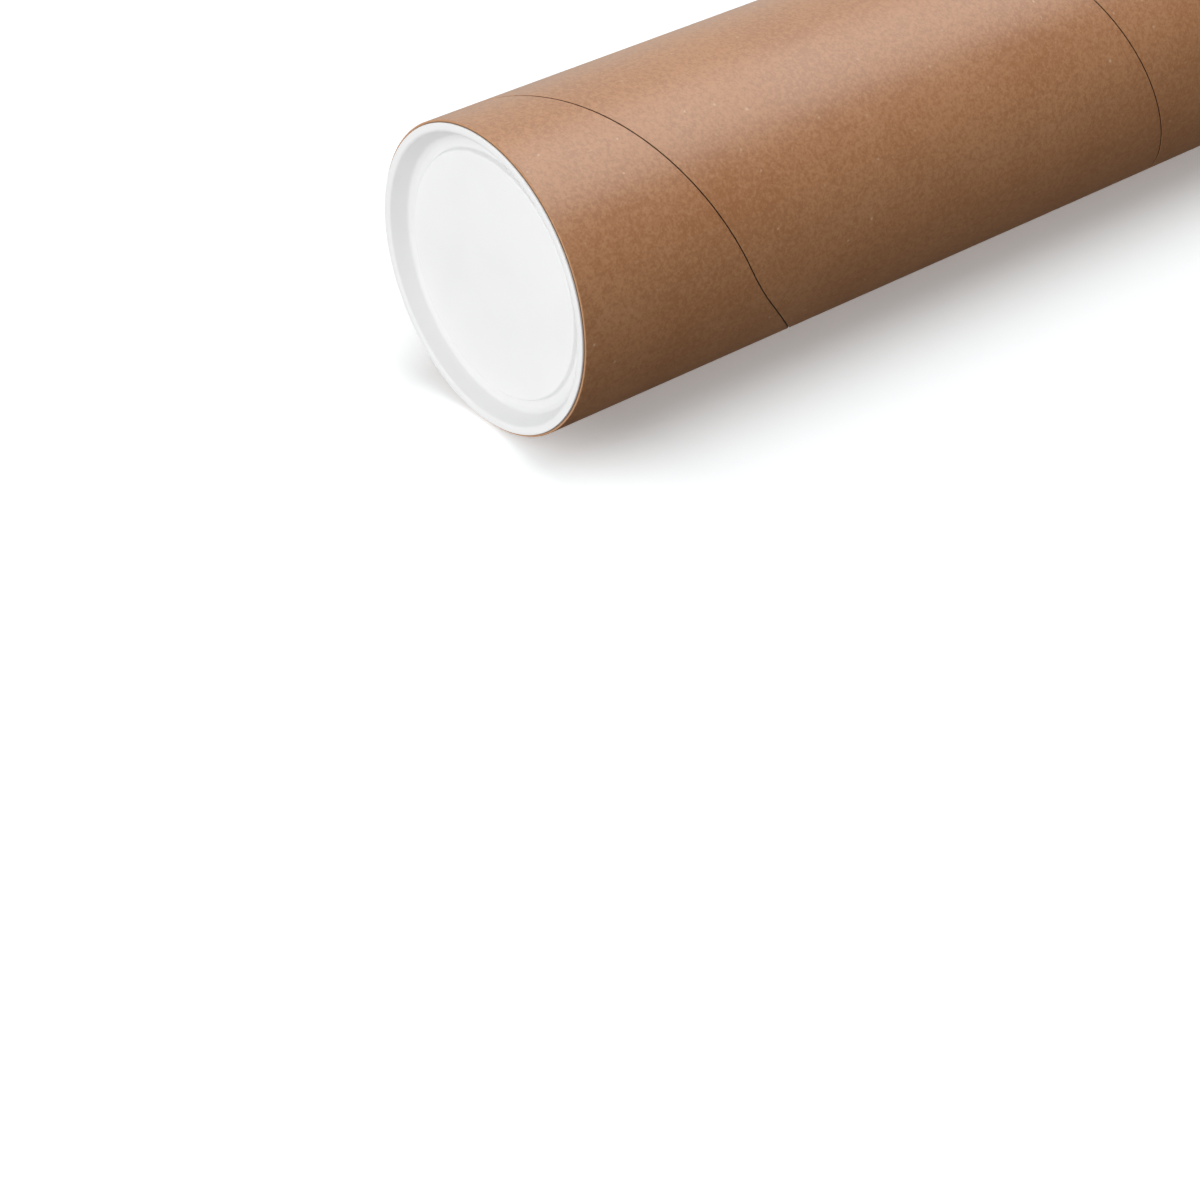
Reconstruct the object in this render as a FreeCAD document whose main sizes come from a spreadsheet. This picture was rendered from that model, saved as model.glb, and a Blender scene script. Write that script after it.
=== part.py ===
import FreeCAD, Part
import math
import os

import Sketcher
from FreeCAD import Rotation, Vector

# A spiral-wound board tube with a recessed plastic plug in each end.
# +Z runs along the tube's axis, through the origin, and the part stands on z = 0
# on the lip of its lower cap.

os.makedirs("parts", exist_ok=True)
doc = FreeCAD.newDocument("mailing_tube")

# Driving dimensions, in millimetres and degrees
DIMENSIONS = [
    ("tube_length", 610.0, "length of the board tube, without the caps' lips"),
    ("tube_diameter", 80.0, "outside diameter of the tube"),
    ("tube_wall", 2.0, "thickness of the wound board"),
    ("lip_setback", 0.65, "ring of cut board left bare around the lip"),
    ("lip_thickness", 0.65, "height of the lip above the cut end"),
    ("lip_width", 2.0, "from the lip's rim to the mouth of the recess"),
    ("lip_round", 0.28, "rounding of the lip's rim on its upper side"),
    ("lip_foot_round", 0.22, "rounding of the lip's rim beside the board"),
    ("mouth_round", 1.0, "rounding of the mouth of the recess"),
    ("plug_clearance", 0.15, "radial gap between the plug and the bore"),
    ("plug_depth", 22.0, "how far the plug reaches into the tube"),
    ("plug_wall", 1.3, "thickness of the plug's skirt"),
    ("lead_in_width", 0.6, "width of the bevel at the skirt's free edge"),
    ("lead_in_length", 1.8, "length of that bevel along the axis"),
    ("recess_depth", 4.2, "depth of the ledge below the cut end"),
    ("recess_lean", 2.5, "inward lean of the recess wall, mouth to ledge"),
    ("recess_round", 2.0, "fillet where the recess wall meets the ledge"),
    ("ledge_width", 2.85, "ring between the recess wall and the raised centre"),
    ("centre_rise", 1.35, "height of the raised centre above the ledge"),
    ("centre_lean", 0.45, "inward lean of the raised centre's edge"),
    ("centre_round", 0.6, "rounding of the raised centre's edge"),
    ("centre_foot_round", 0.5, "fillet at the foot of the raised centre"),
    ("face_thickness", 1.3, "thickness of the cap's face"),
]

sheet = doc.addObject("Spreadsheet::Sheet", "sizes")
for row, (alias, value, meaning) in enumerate(DIMENSIONS, start=1):
    sheet.set(f"A{row}", meaning)
    sheet.set(f"B{row}", str(value))
    sheet.setAlias(f"B{row}", alias)
doc.recompute()


def formula_value(formula):
    """The number that a formula on the sheet's cells gives, or 0 for none."""
    return 0.0 if formula is None else float(sheet.evalExpression(formula.replace("sizes.", "")))


def attached_sketch(body, name, role):
    """A sketch on one of the body's own origin planes."""
    plane = next(item for item in body.Origin.OriginFeatures if item.Role == role)
    sketch = body.newObject("Sketcher::SketchObject", name)
    sketch.AttachmentSupport = (plane, [""])
    sketch.MapMode = "FlatFace"
    return sketch


# The board tube: a ring padded up from the underside of the lower lip

def ring_sketch(body, radii):
    """Circles about the axis, each radius given as a name and a formula."""
    sketch = attached_sketch(body, "ring", "XY_Plane")
    centre = Vector(0, 0, 0)
    for name, formula in radii.items():
        value = formula_value(formula)
        circle = sketch.addGeometry(Part.Circle(centre, Vector(0, 0, 1), value))
        sketch.addConstraint(Sketcher.Constraint("Coincident", circle, 3, -1, 1))
        radius = sketch.addConstraint(Sketcher.Constraint("Radius", circle, value))
        sketch.renameConstraint(radius, name)
        sketch.setExpression(f"Constraints.{name}", formula)
    return sketch


def make_tube():
    body = doc.addObject("PartDesign::Body", "tube")
    ring = ring_sketch(body, {
        "outside": "sizes.tube_diameter / 2",
        "bore": "sizes.tube_diameter / 2 - sizes.tube_wall",
    })
    pad = body.newObject("PartDesign::Pad", "wall")
    pad.Profile = ring
    pad.setExpression("Length", "sizes.tube_length")
    body.setExpression("Placement.Base.z", "sizes.lip_thickness")
    return body


# A cap is turned from one outline of radius and height. Its height 0 is the
# underside of the lip, which rests on the cut end of the tube, and its inside
# lies below that. The same mould makes both caps.

LIP = "(sizes.tube_diameter / 2 - sizes.lip_setback)"
PLUG = "(sizes.tube_diameter / 2 - sizes.tube_wall - sizes.plug_clearance)"
SKIRT = f"({PLUG} - sizes.plug_wall)"
MOUTH = f"({LIP} - sizes.lip_width)"
LEDGE = f"({MOUTH} - sizes.recess_lean)"
CENTRE = f"({LEDGE} - sizes.ledge_width)"
UNDER_CENTRE = f"({CENTRE} - sizes.face_thickness)"
CENTRE_TOP = "(sizes.centre_rise - sizes.recess_depth)"

CAP_OUTLINE = [
    ("hub_top", None, CENTRE_TOP),
    ("centre_top", f"{CENTRE} - sizes.centre_lean", CENTRE_TOP),
    ("centre_foot", CENTRE, "-sizes.recess_depth"),
    ("ledge_rim", LEDGE, "-sizes.recess_depth"),
    ("mouth", MOUTH, "sizes.lip_thickness"),
    ("lip_rim", LIP, "sizes.lip_thickness"),
    ("lip_foot", LIP, None),
    ("plug_top", PLUG, None),
    ("bevel_top", PLUG, "sizes.lead_in_length - sizes.plug_depth"),
    ("bevel_end", f"{PLUG} - sizes.lead_in_width", "-sizes.plug_depth"),
    ("skirt_end", SKIRT, "-sizes.plug_depth"),
    ("skirt_root", SKIRT, "-sizes.recess_depth - sizes.face_thickness"),
    ("under_ledge", UNDER_CENTRE, "-sizes.recess_depth - sizes.face_thickness"),
    ("under_centre", f"{UNDER_CENTRE} - sizes.centre_lean", f"{CENTRE_TOP} - sizes.face_thickness"),
    ("hub_bottom", None, f"{CENTRE_TOP} - sizes.face_thickness"),
]


def cap_sketch(body):
    """The cap's half section, with each corner placed from the sheet."""
    sketch = attached_sketch(body, "half_section", "XZ_Plane")
    corners = [Vector(formula_value(x), formula_value(y), 0) for _, x, y in CAP_OUTLINE]
    count = len(corners)
    for i in range(count):
        sketch.addGeometry(Part.LineSegment(corners[i], corners[(i + 1) % count]))
    for i, (name, x_formula, y_formula) in enumerate(CAP_OUTLINE):
        sketch.addConstraint(Sketcher.Constraint("Coincident", i, 1, (i - 1) % count, 2))
        if x_formula is None:
            sketch.addConstraint(Sketcher.Constraint("PointOnObject", i, 1, -2))
        if y_formula is None:
            sketch.addConstraint(Sketcher.Constraint("PointOnObject", i, 1, -1))
        for way, formula in (("DistanceX", x_formula), ("DistanceY", y_formula)):
            if formula is not None:
                place = Sketcher.Constraint(way, -1, 1, i, 1, formula_value(formula))
                label = f"{name}_{way[-1].lower()}"
                sketch.renameConstraint(sketch.addConstraint(place), label)
                sketch.setExpression(f"Constraints.{label}", formula)
    return sketch


# An edge belongs to a corner of the outline when it lies this close to it
MATCH = 1e-4


def ring_edge_names(shape, corner):
    """Names of the circular edges that a corner of the outline swept."""
    _, x_formula, y_formula = next(item for item in CAP_OUTLINE if item[0] == corner)
    radius, height = formula_value(x_formula), formula_value(y_formula)
    return [
        f"Edge{number}" for number, edge in enumerate(shape.Edges, start=1)
        if isinstance(edge.Curve, Part.Circle)
        and math.hypot(edge.Curve.Radius - radius, edge.Curve.Center.z - height) < MATCH
    ]


CAP_ROUNDINGS = [
    ("lip_edge", "lip_rim", "lip_round"),
    ("lip_foot_edge", "lip_foot", "lip_foot_round"),
    ("mouth_edge", "mouth", "mouth_round"),
    ("ledge_corner", "ledge_rim", "recess_round"),
    ("centre_edge", "centre_top", "centre_round"),
    ("centre_corner", "centre_foot", "centre_foot_round"),
]


def make_cap(name):
    body = doc.addObject("PartDesign::Body", name)
    turned = body.newObject("PartDesign::Revolution", "turned")
    turned.Profile = cap_sketch(body)
    turned.ReferenceAxis = (turned.Profile[0], ["V_Axis"])
    turned.Angle = 360
    doc.recompute()
    before = turned
    for feature_name, corner, radius in CAP_ROUNDINGS:
        fillet = body.newObject("PartDesign::Fillet", feature_name)
        fillet.Base = (before, ring_edge_names(before.Shape, corner))
        fillet.setExpression("Radius", f"sizes.{radius}")
        doc.recompute()
        before = fillet
    return body


tube = make_tube()

upper_cap = make_cap("upper_cap")
upper_cap.setExpression("Placement.Base.z", "sizes.lip_thickness + sizes.tube_length")

lower_cap = make_cap("lower_cap")
lower_cap.Placement.Rotation = Rotation(Vector(1, 0, 0), 180)
lower_cap.setExpression("Placement.Base.z", "sizes.lip_thickness")

doc.recompute()

# Every object must have come out whole before anything is written
for item in doc.Objects:
    if "Invalid" in item.State or "Error" in item.State:
        raise RuntimeError(f"{item.Name} failed: {item.State}")

for node in (tube, upper_cap, lower_cap):
    if node.Shape.isNull() or not node.Shape.isValid():
        raise RuntimeError(f"{node.Label} has no valid shape")
    node.Shape.exportStep(f"parts/{node.Label}.step")
    box = node.Shape.BoundBox
    print(node.Label, "solids", len(node.Shape.Solids), "faces", len(node.Shape.Faces),
          "volume", round(node.Shape.Volume, 1),
          "z", round(box.ZMin, 3), round(box.ZMax, 3), "x", round(box.XLength, 3))
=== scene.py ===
import math

import bmesh
import bpy
from bpy.props import FloatProperty, FloatVectorProperty, IntProperty, PointerProperty
from mathutils import Matrix, Vector


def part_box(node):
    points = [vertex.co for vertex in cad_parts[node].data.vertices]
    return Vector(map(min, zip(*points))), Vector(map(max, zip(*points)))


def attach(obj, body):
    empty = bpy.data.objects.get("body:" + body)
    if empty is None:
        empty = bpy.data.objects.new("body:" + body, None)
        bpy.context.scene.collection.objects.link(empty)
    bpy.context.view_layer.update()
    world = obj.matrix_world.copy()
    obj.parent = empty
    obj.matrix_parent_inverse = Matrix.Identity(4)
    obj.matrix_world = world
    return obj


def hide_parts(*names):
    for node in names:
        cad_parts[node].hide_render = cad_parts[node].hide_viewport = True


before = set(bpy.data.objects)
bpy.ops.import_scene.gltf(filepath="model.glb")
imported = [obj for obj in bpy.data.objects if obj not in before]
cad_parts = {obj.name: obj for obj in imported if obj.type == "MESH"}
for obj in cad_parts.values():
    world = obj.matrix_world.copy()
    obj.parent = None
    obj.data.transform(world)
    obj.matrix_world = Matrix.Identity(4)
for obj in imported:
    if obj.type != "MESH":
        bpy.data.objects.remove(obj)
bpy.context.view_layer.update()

bl_info = {
    "name": "Spiral-Wound Mailing Tube",
    "version": (1, 0, 0),
    "blender": (4, 5, 0),
    "location": "View3D > Sidebar > Tube",
    "description": "Kraft board mailing tube with recessed plastic plug caps",
    "category": "Add Mesh",
}

MM = 0.001
TUBE_LOW, TUBE_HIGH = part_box("tube")
UPPER_CAP_LOW, UPPER_CAP_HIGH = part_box("upper_cap")
TUBE_RADIUS = TUBE_HIGH.x
TUBE_LENGTH = TUBE_HIGH.z - TUBE_LOW.z
LIP_RADIUS = UPPER_CAP_HIGH.x
LIP_THICKNESS = UPPER_CAP_HIGH.z - TUBE_HIGH.z
PLUG_DEPTH = TUBE_HIGH.z - UPPER_CAP_LOW.z

# Each cap, the height of the cut end that it closes, and its outward way along Z
ENDS = (("upper_cap", TUBE_HIGH.z, 1.0), ("lower_cap", TUBE_LOW.z, -1.0))


# Sizes and colours that a user would change

def length(name, description, millimetres):
    return FloatProperty(name=name, description=description, default=millimetres * MM,
                         unit="LENGTH", precision=5)


def turn_angle(name, description, degrees):
    return FloatProperty(name=name, description=description,
                         default=math.radians(degrees), subtype="ANGLE")


def colour(name, description, red, green, blue):
    return FloatVectorProperty(name=name, description=description, subtype="COLOR",
                               size=3, min=0.0, max=1.0, default=(red, green, blue))


class TubeSizes(bpy.types.PropertyGroup):
    wall: length("Board wall", "Thickness of the wound board", 2.0)
    seam_width: length("Seam gap", "Gap between two turns of the outer ply", 0.38)
    seam_depth: length("Outer ply", "Thickness of the outer ply, which the seam cuts", 0.25)
    seam_lead: length("Seam lead", "Drop of the seam in one full turn", 108.66)
    seam_start: length("Seam start", "Drop of the seam below the upper end at +X", -2.1)
    seam_drift: length("Seam drift", "Extra drop where the winding wandered", 32.54)
    drift_from: turn_angle("Drift from", "Turn at which the seam starts to wander", 174.5)
    drift_to: turn_angle("Drift to", "Turn at which the wander has ended", 451.0)
    drift_peak: FloatProperty(
        name="Drift peak", description="Share of the drift after which it slows",
        default=0.075, min=0.01, max=0.99, subtype="FACTOR")
    rim_wear: length("Rim wear", "Softening of the board's cut rims", 0.16)
    columns: IntProperty(name="Columns", description="Mesh columns in one turn",
                         default=288, min=24)


class CapSizes(bpy.types.PropertyGroup):
    lip_width: length("Lip width", "From the lip's rim to the mouth of the recess", 2.0)
    lip_round: length("Lip rounding", "Rounding of the lip's rim on its upper side", 0.28)
    lip_foot_round: length("Lip foot", "Rounding of the lip's rim beside the board", 0.22)
    mouth_round: length("Mouth rounding", "Rounding of the mouth of the recess", 1.0)
    plug_clearance: length("Plug gap", "Radial gap between the plug and the bore", 0.15)
    plug_wall: length("Skirt wall", "Thickness of the plug's skirt", 1.3)
    lead_in_width: length("Bevel width", "Width of the bevel at the skirt's free edge", 0.6)
    lead_in_length: length("Bevel length", "Length of that bevel along the axis", 1.8)
    recess_depth: length("Recess depth", "Depth of the ledge below the cut end", 4.2)
    recess_lean: length("Recess lean", "Inward lean of the recess wall", 2.5)
    recess_round: length("Recess fillet", "Fillet between recess wall and ledge", 2.0)
    ledge_width: length("Ledge width", "Ring between the recess wall and the raised centre", 2.85)
    centre_rise: length("Centre rise", "Height of the raised centre above the ledge", 1.35)
    centre_lean: length("Centre lean", "Inward lean of the raised centre's edge", 0.45)
    centre_round: length("Centre rounding", "Rounding of the raised centre's edge", 0.6)
    centre_foot_round: length("Centre fillet", "Fillet at the foot of the raised centre", 0.5)
    edge_round: length("Edge rounding", "Rounding of the plug's hidden edges", 0.25)
    face_thickness: length("Face thickness", "Thickness of the cap's face", 1.3)
    segments: IntProperty(name="Segments", description="Mesh segments round the cap",
                          default=256, min=24)


class FinishColours(bpy.types.PropertyGroup):
    kraft: colour("Kraft", "Outer ply of kraft paper", 0.50, 0.232, 0.102)
    kraft_dark: colour("Kraft shade", "Darker pulp in the outer ply", 0.41, 0.172, 0.070)
    kraft_light: colour("Kraft light", "Paler pulp in the outer ply", 0.585, 0.297, 0.146)
    fleck_light: colour("Light fleck", "Pale fibre bundles", 0.80, 0.60, 0.42)
    fleck_dark: colour("Dark fleck", "Dark specks of bark", 0.20, 0.095, 0.045)
    seam: colour("Seam", "Shaded board seen in the open seam", 0.06, 0.027, 0.012)
    core: colour("Core board", "Grey-brown chipboard of the bore", 0.36, 0.25, 0.16)
    cut: colour("Cut end", "Freshly cut board at the tube's ends", 0.56, 0.32, 0.17)
    plastic: colour("Plastic", "White moulded plastic of the caps", 0.87, 0.87, 0.868)
    stage: colour("Stage", "Floor and backdrop", 0.905, 0.945, 0.965)


# Shader maths

class Value:
    """A number socket, so that maths on it is written as a Python expression."""

    def __init__(self, shader, socket):
        self.shader = shader
        self.socket = socket

    def maths(self, operation, *others):
        return self.shader.maths(operation, self, *others)

    def __add__(self, other):
        return self.maths("ADD", other)

    __radd__ = __add__

    def __sub__(self, other):
        return self.maths("SUBTRACT", other)

    def __rsub__(self, other):
        return self.shader.maths("SUBTRACT", other, self)

    def __mul__(self, other):
        return self.maths("MULTIPLY", other)

    __rmul__ = __mul__

    def __gt__(self, other):
        return self.maths("GREATER_THAN", other)

    def __lt__(self, other):
        return self.maths("LESS_THAN", other)


class Shader:
    """A node tree that is built up by calls, for a material or the world."""

    def __init__(self, tree):
        self.tree = tree
        self.tree.nodes.clear()

    def node(self, kind, settings=None, inputs=None):
        """Adds a node: its settings first, then the values or links of its sockets."""
        node = self.tree.nodes.new(kind)
        for name, value in (settings or {}).items():
            setattr(node, name, value)
        for name, value in (inputs or {}).items():
            self.feed(node.inputs[name], value)
        return node

    def feed(self, socket, value):
        """Links a socket or a Value, or sets a number, a vector or a colour of three."""
        if isinstance(value, Value):
            value = value.socket
        if isinstance(value, bpy.types.NodeSocket):
            self.tree.links.new(value, socket)
        elif socket.type == "RGBA":
            socket.default_value = (*value, 1.0)
        else:
            socket.default_value = value

    def value(self, kind, output, settings=None, inputs=None):
        return Value(self, self.node(kind, settings, inputs).outputs[output])

    def maths(self, operation, *operands):
        return self.value("ShaderNodeMath", 0, {"operation": operation},
                          dict(enumerate(operands)))

    def mix(self, share, first, second):
        """A colour that goes from the first to the second as share goes from 0 to 1."""
        return self.node("ShaderNodeMix", {"data_type": "RGBA"},
                         {0: share, 6: first, 7: second}).outputs[2]

    def step(self, value, low, high):
        """0 below low, 1 above high, and a smooth rise between."""
        return self.value("ShaderNodeMapRange", "Result", {"interpolation_type": "SMOOTHSTEP"},
                          {"Value": value, "From Min": low, "From Max": high})

    def noise(self, vector, fineness, detail, roughness):
        return self.value("ShaderNodeTexNoise", "Fac", None,
                          {"Vector": vector, "Scale": fineness, "Detail": detail,
                           "Roughness": roughness})

    def spots(self, in_mm, spacing, core, rim):
        """1 inside small round spots that lie about a spacing apart, all in mm."""
        near = self.value("ShaderNodeTexVoronoi", "Distance", None,
                          {"Vector": in_mm, "Scale": 1.0 / spacing})
        return 1.0 - self.step(near * spacing, core, rim)

    def scaled(self, vector, factor):
        return self.node("ShaderNodeVectorMath", {"operation": "SCALE"},
                         {"Vector": vector, "Scale": factor}).outputs[0]

    def shifted(self, vector, amount):
        return self.node("ShaderNodeVectorMath", {"operation": "ADD"},
                         {0: vector, 1: (amount, amount, amount)}).outputs[0]

    def vector(self, x, y, z):
        return self.node("ShaderNodeCombineXYZ", None, {"X": x, "Y": y, "Z": z}).outputs[0]

    def axes(self, vector):
        """The vector's X, Y and Z."""
        parts = self.node("ShaderNodeSeparateXYZ", None, {"Vector": vector})
        return [Value(self, parts.outputs[axis]) for axis in "XYZ"]


def new_material(name):
    material = bpy.data.materials.new(name)
    material.use_nodes = True
    return material, Shader(material.node_tree)


def surface_place(shader):
    """A point of the surface: its vector in mm, its radius and its height, in metres."""
    place = shader.node("ShaderNodeTexCoord").outputs["Object"]
    x, y, z = shader.axes(place)
    return shader.scaled(place, 1.0 / MM), (x * x + y * y).maths("SQRT"), z


def finish_surface(shader, tint, roughness, relief, bump_distance, bump_strength, ior):
    """A Principled surface with a bump, joined to the material's output."""
    bump = shader.node("ShaderNodeBump", None,
                       {"Height": relief, "Distance": bump_distance, "Strength": bump_strength})
    surface = shader.node("ShaderNodeBsdfPrincipled", None,
                          {"Base Color": tint, "Roughness": roughness, "IOR": ior,
                           "Normal": bump.outputs["Normal"]})
    shader.node("ShaderNodeOutputMaterial", None, {"Surface": surface.outputs["BSDF"]})


# Noises of the finishes: fineness in 1/mm, detail and roughness
GRAIN = (1.6, 3.0, 0.6)
MOTTLE = (0.75, 3.0, 0.6)
FIBRE = (1.3, 3.0, 0.6)
CLOUD = (0.04, 3.0, 0.55)
SKIN = (2.6, 3.0, 0.6)
FLOW = (0.05, 2.0, 0.5)
MIDDLE = 0.5                    # of a noise, which goes from 0 to 1

# Kraft paper. A rise is where a smooth step from 0 to 1 starts and ends.
GRAIN_TONE, MOTTLE_TONE, FIBRE_TONE, CLOUD_TONE = 1.45, 1.5, 0.45, 0.6
TONE_RISE = (0.1, 0.9)
FIBRE_SQUEEZE = 0.3             # along the strip, so that fibres run with it
PLAIN_SHARE = 0.3               # of the plain kraft colour in the mottled one
PALE_KNOTS = (5.2, 0.12, 0.6)   # spacing, core and rim of the spots, in mm
KNOT_RISE, KNOT_SHARE = (0.38, 0.62), 0.6
DARK_SPECKS = (11.0, 0.1, 0.34)
SPECK_SHIFT, SPECK_SHARE = 31.0, 0.45
GAP_FROM = 0.3                  # share of the outer ply's depth where the gap's shade starts
KRAFT_ROUGHNESS, MOTTLE_GLOSS, CLOUD_GLOSS = 0.4, 0.14, 0.16
GRAIN_RELIEF, FIBRE_RELIEF, MOTTLE_RELIEF = 0.6, 0.3, 0.5
KRAFT_BUMP = (0.05 * MM, 0.5)   # distance and strength
KRAFT_IOR = 1.66                # high, for the paper's sheen at a low angle

# Chipboard in the bore, and the plies of the cut ends
BOARD_RISE = (0.3, 0.7)
BORE_FROM = 0.9                 # share of the wall's depth
END_SKIN = 0.02 * MM            # depth of the cut end's finish along the axis
END_ROUGHNESS = 0.4             # added to the paper's
PLY_PITCH = 0.45 * MM
PLY_TONE, END_GRAIN_TONE = 0.25, 0.35
LIP_SHADE = 0.9
LIP_SHADE_IN, LIP_SHADE_OUT = 0.1 * MM, 0.4 * MM

# Moulded plastic
SKIN_TONE, FLOW_TONE = 0.2, 0.8
FLOW_RISE, FLOW_SHADE = (0.35, 0.65), 0.975
# Painted shade on the ledge: its middle, where it is full and gone, how much the skin varies it,
# and its tone
LEDGE_SHADE_MIDDLE = 0.6               # share of the ledge's width
LEDGE_SHADE_FULL, LEDGE_SHADE_GONE = 0.9 * MM, 2.1 * MM
LEDGE_SHADE_LEAST, LEDGE_SHADE_SKIN, LEDGE_SHADE_TONE = 0.8, 0.4, 0.9
PLASTIC_ROUGHNESS, PLASTIC_GLOSS = 0.5, 0.08
PLASTIC_BUMP = (0.01 * MM, 0.25)
PLASTIC_IOR = 1.42

STRIP_PLACE = "strip_place"     # mesh layer: how far along the strip and across it, in mm


def kraft_material(sizes, colours):
    """Kraft paper outside, chipboard in the bore and cut plies at the ends."""
    material, shader = new_material("kraft_board")
    in_mm, radius, z = surface_place(shader)
    strip = shader.node("ShaderNodeAttribute", {"attribute_name": STRIP_PLACE})
    along, across, _ = shader.axes(strip.outputs["Vector"])

    # Paper pulp: fine grain, soft mottling, broad clouds, faint fibres along the strip
    grain = shader.noise(in_mm, *GRAIN)
    mottle = shader.noise(in_mm, *MOTTLE)
    cloud = shader.noise(in_mm, *CLOUD)
    fibre = shader.noise(shader.vector(along * FIBRE_SQUEEZE, across, 0.0), *FIBRE)
    tone = (MIDDLE + (grain - MIDDLE) * GRAIN_TONE + (mottle - MIDDLE) * MOTTLE_TONE
            + (fibre - MIDDLE) * FIBRE_TONE + (cloud - MIDDLE) * CLOUD_TONE)
    paper = shader.mix(shader.step(tone, *TONE_RISE), colours.kraft_dark, colours.kraft_light)
    paper = shader.mix(PLAIN_SHARE, paper, colours.kraft)

    # Pale fibre knots lie here and there, and dark specks are rarer and weaker
    knots = shader.spots(in_mm, *PALE_KNOTS) * shader.step(cloud + grain - MIDDLE, *KNOT_RISE)
    specks = shader.spots(shader.shifted(in_mm, SPECK_SHIFT), *DARK_SPECKS)
    paper = shader.mix(knots * KNOT_SHARE, paper, colours.fleck_light)
    paper = shader.mix(specks * SPECK_SHARE, paper, colours.fleck_dark)

    # The seam's gap shows the shaded ply below
    in_gap = radius < TUBE_RADIUS - sizes.seam_depth * GAP_FROM
    paper = shader.mix(in_gap, paper, colours.seam)

    # Chipboard in the bore
    board = shader.mix(shader.step(mottle + grain - MIDDLE, *BOARD_RISE),
                       colours.core, colours.cut)
    on_bore = radius < TUBE_RADIUS - sizes.wall * BORE_FROM

    # Thin plies at the cut ends, with painted shade close to the lip in the seam's dark colour
    plies = (radius * (2.0 * math.pi / PLY_PITCH)).maths("SINE") * 0.5 + 0.5
    cut_end = shader.mix(plies * PLY_TONE + (1.0 - grain) * END_GRAIN_TONE,
                         colours.cut, colours.kraft_dark)
    off_lip = shader.step(radius, LIP_RADIUS - LIP_SHADE_IN, LIP_RADIUS + LIP_SHADE_OUT)
    cut_end = shader.mix((1.0 - off_lip) * LIP_SHADE, cut_end, colours.seam)
    from_middle = (z - (TUBE_LOW.z + TUBE_LENGTH / 2.0)).maths("ABSOLUTE")
    on_end = from_middle > TUBE_LENGTH / 2.0 - END_SKIN

    tint = shader.mix(on_end, shader.mix(on_bore, paper, board), cut_end)
    roughness = (KRAFT_ROUGHNESS + (mottle - MIDDLE) * MOTTLE_GLOSS
                 + (cloud - MIDDLE) * CLOUD_GLOSS + on_end * END_ROUGHNESS)
    relief = grain * GRAIN_RELIEF + fibre * FIBRE_RELIEF + mottle * MOTTLE_RELIEF
    finish_surface(shader, tint, roughness, relief, *KRAFT_BUMP, KRAFT_IOR)
    return material


def plastic_material(sizes, colours):
    """White moulded polyethylene with a satin skin, and a ring of painted shade on the ledge."""
    material, shader = new_material("white_plastic")
    in_mm, radius, _ = surface_place(shader)
    skin = shader.noise(in_mm, *SKIN)
    flow = shader.noise(in_mm, *FLOW)
    tint = shader.mix(shader.step(flow * FLOW_TONE + skin * SKIN_TONE, *FLOW_RISE),
                      colours.plastic, colours.plastic * FLOW_SHADE)

    # Painted shade: a darker ring on the ledge round the raised centre
    painted_shade_radius = (LIP_RADIUS - sizes.lip_width - sizes.recess_lean
                   - sizes.ledge_width * LEDGE_SHADE_MIDDLE)
    from_painted_shade = (radius - painted_shade_radius).maths("ABSOLUTE")
    painted_shade = 1.0 - shader.step(from_painted_shade, LEDGE_SHADE_FULL, LEDGE_SHADE_GONE)
    tint = shader.mix(painted_shade * (LEDGE_SHADE_LEAST + skin * LEDGE_SHADE_SKIN),
                      tint, colours.plastic * LEDGE_SHADE_TONE)

    roughness = (PLASTIC_ROUGHNESS + (skin - MIDDLE) * PLASTIC_GLOSS
                 + (flow - MIDDLE) * PLASTIC_GLOSS)
    finish_surface(shader, tint, roughness, skin, *PLASTIC_BUMP, PLASTIC_IOR)
    return material


# Meshes

ARC_STEPS = 6                   # straight steps in each rounding of an outline


def mesh_object(name, bm, material, sharp_degrees):
    """A smooth-shaded object from the bmesh, with sharp edges kept sharp."""
    bmesh.ops.recalc_face_normals(bm, faces=bm.faces)
    mesh = bpy.data.meshes.new(name)
    bm.to_mesh(mesh)
    bm.free()
    for polygon in mesh.polygons:
        polygon.use_smooth = True
    mesh.set_sharp_from_angle(angle=math.radians(sharp_degrees))
    mesh.materials.append(material)
    piece = bpy.data.objects.new(name, mesh)
    bpy.context.scene.collection.objects.link(piece)
    return piece


def ring_of_vertices(bm, radius, height, segments):
    angles = [2.0 * math.pi * i / segments for i in range(segments)]
    return [bm.verts.new((radius * math.cos(angle), radius * math.sin(angle), height))
            for angle in angles]


def skin_between(bm, first, second):
    """Quads between two rings of as many vertices, or a fan where one is a point."""
    count = max(len(first), len(second))
    for i in range(count):
        j = (i + 1) % count
        if len(first) == 1:
            bm.faces.new((first[0], second[j], second[i]))
        elif len(second) == 1:
            bm.faces.new((first[i], first[j], second[0]))
        else:
            bm.faces.new((first[i], first[j], second[j], second[i]))


def rounded_outline(corners):
    """Points of an open outline whose corners (radius, height, rounding) are arcs."""
    points = []
    for i, (radius, height, rounding) in enumerate(corners):
        here = Vector((radius, height))
        if rounding <= 0.0 or i in (0, len(corners) - 1):
            points.append(here)
            continue
        back = (Vector(corners[i - 1][:2]) - here).normalized()
        ahead = (Vector(corners[i + 1][:2]) - here).normalized()
        half = math.acos(max(-1.0, min(1.0, back.dot(ahead)))) / 2.0
        reach = rounding / math.tan(half)
        centre = here + (back + ahead).normalized() * (rounding / math.sin(half))
        first, last = here + back * reach - centre, here + ahead * reach - centre
        sweep = math.pi - 2.0 * half
        side = 1.0 if first.x * last.y - first.y * last.x > 0.0 else -1.0
        for step in range(ARC_STEPS + 1):
            turn = Matrix.Rotation(side * sweep * step / ARC_STEPS, 2)
            points.append(centre + turn @ first)
    return points


# The wound tube. Its outer ply is a strip whose edges meet in an open seam, a
# right-handed helix that wanders once.

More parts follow.
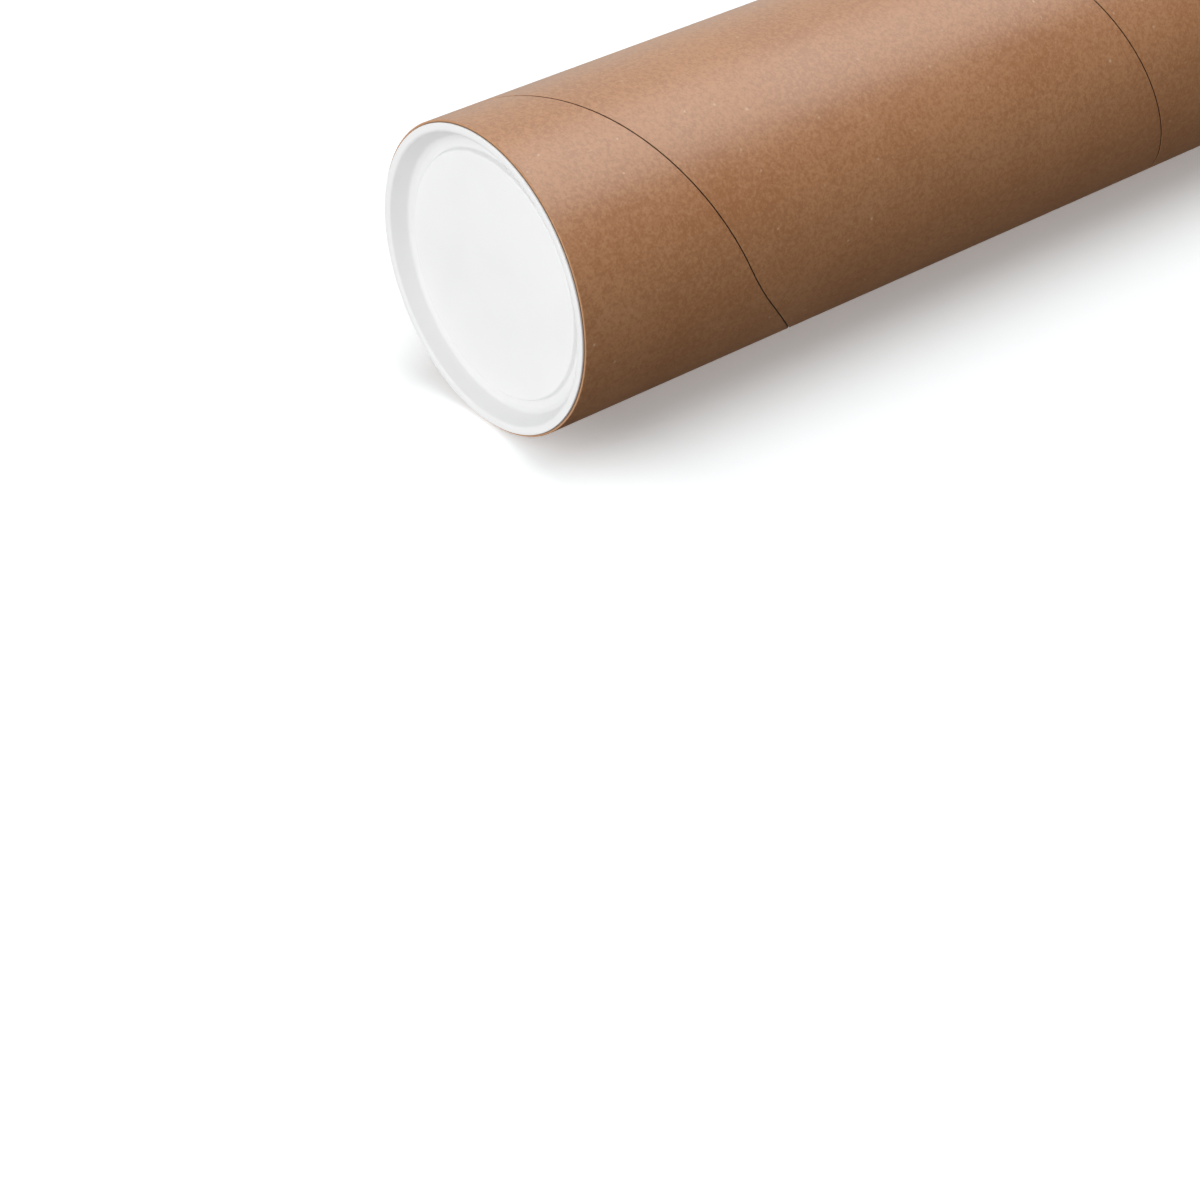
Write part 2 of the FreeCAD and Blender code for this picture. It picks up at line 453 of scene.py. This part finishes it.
EDGE_SOFT = 0.6                 # softening of the strip's edges, as a share of half the gap
EDGE_DROP = 0.6                 # drop of a softened edge, as a share of that
GAP_FLOOR = 0.8                 # width of the gap's floor, as a share of the gap
STRIP_ROWS = 8                  # mesh rows across the strip
SPARE_TURNS = 2                 # wound above the upper end, and trimmed off
WORN_IN = 0.5                   # how far a worn rim pulls in, as a share of its height
WELD = 0.001 * MM
CUT_TOLERANCE = 0.0005 * MM
ON_CUT = 0.002 * MM             # a vertex this near a cut lies on it
TUBE_SHARP, CAP_SHARP = 20.0, 28.0      # degrees above which an edge stays sharp


def seam_drop(sizes, turn):
    """Drop below the upper end at a turn, in degrees clockwise from +X as seen from above."""
    start, end = math.degrees(sizes.drift_from), math.degrees(sizes.drift_to)
    passed = min(max((turn - start) / (end - start), 0.0), 1.0)
    if passed < sizes.drift_peak:
        wander = passed ** 2 / sizes.drift_peak
    else:
        wander = 1.0 - (1.0 - passed) ** 2 / (1.0 - sizes.drift_peak)
    return sizes.seam_start + sizes.seam_lead * turn / 360.0 + sizes.seam_drift * wander


class TUBE_OT_wound_tube(bpy.types.Operator):
    """Build the spiral-wound tube with its open seam"""

    bl_idname = "mailing_tube.wound_tube"
    bl_label = "Wound tube"

    def strip_section(self, sizes, turn):
        """Radius and drop of the strip's section, from one seam to the next."""
        upper, lower = seam_drop(sizes, turn), seam_drop(sizes, turn + 360.0)
        half_gap = sizes.seam_width / 2.0
        floor = TUBE_RADIUS - sizes.seam_depth
        soft = half_gap * EDGE_SOFT
        first, last = upper + half_gap + soft, lower - half_gap - soft
        return [
            (floor, upper),
            (floor, upper + half_gap * GAP_FLOOR),
            (TUBE_RADIUS - soft * EDGE_DROP, upper + half_gap),
            *((TUBE_RADIUS, first + (last - first) * row / STRIP_ROWS)
              for row in range(STRIP_ROWS + 1)),
            (TUBE_RADIUS - soft * EDGE_DROP, lower - half_gap),
            (floor, lower - half_gap * GAP_FLOOR),
            (floor, lower),
        ]

    def wind_strip(self, bm, sizes):
        """Sweep the strip's section round the tube, past both ends."""
        strip_place = bm.verts.layers.float_vector.new(STRIP_PLACE)
        step = 360.0 / sizes.columns
        mm_per_degree = math.radians(TUBE_RADIUS / MM)
        count = 0
        while seam_drop(sizes, count * step) < TUBE_LENGTH:
            count += 1
        previous = None
        for i in range(-SPARE_TURNS * sizes.columns, count + 2):
            turn = i * step
            angle = math.radians(-turn)
            seam = seam_drop(sizes, turn)
            column = []
            for radius, drop in self.strip_section(sizes, turn):
                corner = bm.verts.new((radius * math.cos(angle), radius * math.sin(angle),
                                       TUBE_HIGH.z - drop))
                corner[strip_place] = (turn * mm_per_degree, (drop - seam) / MM, 0.0)
                column.append(corner)
            if previous:
                for corners in zip(previous, previous[1:], column[1:], column):
                    bm.faces.new(corners)
            previous = column
        bmesh.ops.remove_doubles(bm, verts=bm.verts, dist=WELD)

    def cut_across(self, bm, height, outward, clear_outer):
        bmesh.ops.bisect_plane(bm, geom=bm.verts[:] + bm.edges[:] + bm.faces[:],
                               plane_co=(0, 0, height), plane_no=(0, 0, outward),
                               clear_outer=clear_outer, dist=CUT_TOLERANCE)

    def trim_end(self, bm, sizes, height, outward):
        """Cut the winding square, as the saw does, and soften the cut rim."""
        self.cut_across(bm, height, outward, True)
        self.cut_across(bm, height - outward * sizes.rim_wear, outward, False)
        worn = 1.0 - sizes.rim_wear * WORN_IN / TUBE_RADIUS
        for corner in bm.verts:
            if abs(corner.co.z - height) < ON_CUT:
                corner.co.x *= worn
                corner.co.y *= worn

    def close_end(self, bm, sizes, height):
        """Fill the cut end from the outer ply to the bore, and give the bore's ring."""
        open_edges = [edge for edge in bm.edges if edge.is_boundary
                      and all(abs(corner.co.z - height) < ON_CUT for corner in edge.verts)]
        bore_ring = ring_of_vertices(bm, TUBE_RADIUS - sizes.wall, height, sizes.columns)
        ring_edges = [bm.edges.new(pair)
                      for pair in zip(bore_ring, bore_ring[1:] + bore_ring[:1])]
        bmesh.ops.triangle_fill(bm, edges=open_edges + ring_edges, use_beauty=True,
                                use_dissolve=False, normal=(0, 0, 1))
        return bore_ring

    def execute(self, context):
        sizes = context.scene.tube_sizes
        bm = bmesh.new()
        self.wind_strip(bm, sizes)
        for _, height, outward in ENDS:
            self.trim_end(bm, sizes, height, outward)
        upper_ring, lower_ring = [self.close_end(bm, sizes, height) for _, height, _ in ENDS]
        skin_between(bm, lower_ring, upper_ring)

        material = kraft_material(sizes, context.scene.tube_colours)
        piece = mesh_object("wound_tube", bm, material, TUBE_SHARP)
        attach(piece, "tube")
        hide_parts("tube")
        return {"FINISHED"}


class TUBE_OT_plug_caps(bpy.types.Operator):
    """Build the two recessed plug caps"""

    bl_idname = "mailing_tube.plug_caps"
    bl_label = "Plug caps"

    def outline(self, sizes, wall):
        """The cap's half section. Height 0 is the lip's underside, and the inside lies below."""
        plug = TUBE_RADIUS - wall - sizes.plug_clearance
        skirt = plug - sizes.plug_wall
        mouth = LIP_RADIUS - sizes.lip_width
        ledge = mouth - sizes.recess_lean
        centre = ledge - sizes.ledge_width
        centre_top = sizes.centre_rise - sizes.recess_depth
        under = centre - sizes.face_thickness
        ledge_bottom = -sizes.recess_depth - sizes.face_thickness
        edge_round = sizes.edge_round
        return rounded_outline([
            (0.0, centre_top, 0.0),
            (centre - sizes.centre_lean, centre_top, sizes.centre_round),
            (centre, -sizes.recess_depth, sizes.centre_foot_round),
            (ledge, -sizes.recess_depth, sizes.recess_round),
            (mouth, LIP_THICKNESS, sizes.mouth_round),
            (LIP_RADIUS, LIP_THICKNESS, sizes.lip_round),
            (LIP_RADIUS, 0.0, sizes.lip_foot_round),
            (plug, 0.0, 0.0),
            (plug, sizes.lead_in_length - PLUG_DEPTH, edge_round),
            (plug - sizes.lead_in_width, -PLUG_DEPTH, edge_round),
            (skirt, -PLUG_DEPTH, edge_round),
            (skirt, ledge_bottom, edge_round),
            (under, ledge_bottom, edge_round),
            (under - sizes.centre_lean, centre_top - sizes.face_thickness, edge_round),
            (0.0, centre_top - sizes.face_thickness, 0.0),
        ])

    def execute(self, context):
        sizes = context.scene.cap_sizes
        material = plastic_material(sizes, context.scene.tube_colours)
        points = self.outline(sizes, context.scene.tube_sizes.wall)
        for node, seat, outward in ENDS:
            bm = bmesh.new()
            rings = []
            for point in points:
                height = seat + outward * point.y
                if point.x < WELD:
                    rings.append([bm.verts.new((0, 0, height))])
                else:
                    rings.append(ring_of_vertices(bm, point.x, height, sizes.segments))
            for first, second in zip(rings, rings[1:]):
                skin_between(bm, first, second)
            piece = mesh_object(f"{node}_plug", bm, material, CAP_SHARP)
            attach(piece, node)
            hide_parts(node)
        return {"FINISHED"}


# The stage: camera, lamps, white world, floor and a backdrop behind the tube

CAMERA_PLACE = Vector((-12.387, -9.312, 9.112))     # in tube radii from the upper end's centre
VIEW_AHEAD = Vector((0.6178, 0.6065, -0.5007))
VIEW_UP = Vector((0.4754, -0.7951, -0.3766))
LENS_MM, SENSOR_MM = 89.27, 36.0
CLIP_NEAR, CLIP_FAR = 0.01, 50.0

# Each lamp's direction, strength and spread in degrees
LAMPS = {
    "key": ((0.02, 0.9, 0.42), 1.86, 54.0),
    "cap_fill": ((0.16, 0.10, -1.0), 1.37, 74.0),
}

STAGE_REACH = 2.0
# Painted light: the stage glows more in front of the upper cap, which lightens the cap's shadow
# there
STAGE_GLOW, STAGE_GLOW_END = 0.22, 0.62     # beside the tube, and in front of the upper cap
GLOW_REACH = 0.8 * TUBE_RADIUS              # from the one to the other, each side of the end

WHITE = (1.0, 1.0, 1.0)
SHEEN_TINT = (0.87, 1.0, 1.02)              # the room as gloss reflects it
ROOM_FRONT, ROOM_BACK = 0.085, 0.03         # light of the world before the backdrop and behind it
ROOM_END = 0.72                             # added above the upper cap
BACK_RISE, END_RISE, END_TILT = (-0.35, 0.6), (0.0, 0.9), 0.2
BEYOND_RISES = ((-0.1, 0.7), (0.0, 0.5), (-0.1, 0.5))   # along X, Y and Z


def stage_material(colours, name):
    """White to the camera on its front, with the object's shadows, and unseen from behind. It
    glows more in front of the upper cap: painted light over the cap's shadow.
    """
    material, shader = new_material(name)
    diffuse = shader.node("ShaderNodeBsdfDiffuse", None, {"Color": colours.stage})
    _, _, z = shader.axes(shader.node("ShaderNodeTexCoord").outputs["Object"])
    # Painted light: a stronger glow in front of the upper cap
    painted_light_in_front = shader.step(z, TUBE_HIGH.z - GLOW_REACH, TUBE_HIGH.z + GLOW_REACH)
    glow = shader.node("ShaderNodeEmission", None, {
        "Color": WHITE, "Strength": STAGE_GLOW + painted_light_in_front * (STAGE_GLOW_END - STAGE_GLOW)})
    lit = shader.node("ShaderNodeAddShader", None, {0: diffuse.outputs[0], 1: glow.outputs[0]})
    clear = shader.node("ShaderNodeBsdfTransparent")
    to_camera = shader.value("ShaderNodeLightPath", "Is Camera Ray")
    behind = shader.value("ShaderNodeNewGeometry", "Backfacing")
    surface = shader.node("ShaderNodeMixShader", None, {
        "Fac": to_camera * (1.0 - behind), 1: clear.outputs[0], 2: lit.outputs[0]})
    shader.node("ShaderNodeOutputMaterial", None, {"Surface": surface.outputs[0]})
    return material


def stage_sheet(name, corners, colours):
    mesh = bpy.data.meshes.new(name)
    mesh.from_pydata(corners, [], [(0, 1, 2, 3)])
    mesh.materials.append(stage_material(colours, f"{name}_white"))
    sheet = bpy.data.objects.new(name, mesh)
    bpy.context.scene.collection.objects.link(sheet)


def sun(name, towards, strength, spread_degrees):
    """A far soft lamp that shines along the given direction."""
    lamp = bpy.data.lights.new(name, "SUN")
    lamp.energy = strength
    lamp.angle = math.radians(spread_degrees)
    lamp_object = bpy.data.objects.new(name, lamp)
    lamp_object.rotation_mode = "QUATERNION"
    lamp_object.rotation_quaternion = Vector(towards).to_track_quat("-Z", "Y")
    bpy.context.scene.collection.objects.link(lamp_object)


class TUBE_OT_studio(bpy.types.Operator):
    """Set up the camera, lamps, world, floor and backdrop"""

    bl_idname = "mailing_tube.studio"
    bl_label = "Studio"

    def add_camera(self, scene):
        data = bpy.data.cameras.new("camera")
        data.lens = LENS_MM
        data.sensor_width = SENSOR_MM
        data.clip_start, data.clip_end = CLIP_NEAR, CLIP_FAR
        camera = bpy.data.objects.new("camera", data)
        back = -VIEW_AHEAD.normalized()
        right = VIEW_UP.cross(back).normalized()
        up = back.cross(right)
        turned = Matrix((right, up, back)).transposed().to_4x4()
        place = Vector((0, 0, TUBE_HIGH.z)) + CAMERA_PLACE * TUBE_RADIUS
        camera.matrix_world = Matrix.Translation(place) @ turned
        scene.collection.objects.link(camera)
        scene.camera = camera

    def add_world(self, scene):
        world = bpy.data.worlds.new("studio_world")
        world.use_nodes = True
        shader = Shader(world.node_tree)
        x, y, z = shader.axes(shader.node("ShaderNodeTexCoord").outputs["Generated"])
        room = (ROOM_FRONT - shader.step(y, *BACK_RISE) * (ROOM_FRONT - ROOM_BACK)
                + shader.step(z - y * END_TILT, *END_RISE) * ROOM_END)

        # The camera sees white all round, and gloss reflects the white beyond the tube
        rays = shader.node("ShaderNodeLightPath")
        to_camera, to_gloss = (Value(shader, rays.outputs[name])
                               for name in ("Is Camera Ray", "Is Glossy Ray"))
        past_x, past_y, past_z = (shader.step(axis, *rise)
                                  for axis, rise in zip((x, y, z), BEYOND_RISES))
        beyond = past_x * (1.0 - past_y) * (1.0 - past_z)
        white = to_camera.maths("MAXIMUM", to_gloss * beyond)
        background = shader.node("ShaderNodeBackground", None, {
            "Color": shader.mix(to_gloss, WHITE, SHEEN_TINT),
            "Strength": room + white * (1.0 - room)})
        shader.node("ShaderNodeOutputWorld", None, {"Surface": background.outputs[0]})
        scene.world = world

    def execute(self, context):
        scene = context.scene
        scene.view_settings.view_transform = "Standard"
        self.add_camera(scene)
        self.add_world(scene)
        near, far = -STAGE_REACH, STAGE_REACH
        square = ((near, near), (far, near), (far, far), (near, far))
        stage_sheet("floor", [(x, y, 0.0) for x, y in square], scene.tube_colours)
        stage_sheet("backdrop", [(x, TUBE_HIGH.y, z) for x, z in square], scene.tube_colours)
        for name, lamp in LAMPS.items():
            sun(name, *lamp)
        return {"FINISHED"}


class TUBE_PT_panel(bpy.types.Panel):
    """The tube's pieces, sizes and colours"""

    bl_idname = "TUBE_PT_panel"
    bl_label = "Mailing tube"
    bl_space_type = "VIEW_3D"
    bl_region_type = "UI"
    bl_category = "Tube"

    def draw(self, context):
        scene = context.scene
        for operator in PIECE_OPERATORS:
            self.layout.operator(operator.bl_idname)
        for group in (scene.tube_sizes, scene.cap_sizes, scene.tube_colours):
            column = self.layout.column(align=True)
            for name in group.__annotations__:
                column.prop(group, name)


PIECE_OPERATORS = (TUBE_OT_wound_tube, TUBE_OT_plug_caps, TUBE_OT_studio)
CLASSES = (TubeSizes, CapSizes, FinishColours, *PIECE_OPERATORS, TUBE_PT_panel)


def register():
    for item in CLASSES:
        bpy.utils.register_class(item)
    bpy.types.Scene.tube_sizes = PointerProperty(type=TubeSizes)
    bpy.types.Scene.cap_sizes = PointerProperty(type=CapSizes)
    bpy.types.Scene.tube_colours = PointerProperty(type=FinishColours)


def unregister():
    del bpy.types.Scene.tube_colours
    del bpy.types.Scene.cap_sizes
    del bpy.types.Scene.tube_sizes
    for item in reversed(CLASSES):
        bpy.utils.unregister_class(item)


def main():
    register()
    bpy.ops.mailing_tube.wound_tube()
    bpy.ops.mailing_tube.plug_caps()
    bpy.ops.mailing_tube.studio()


if __name__ == "__main__":
    main()
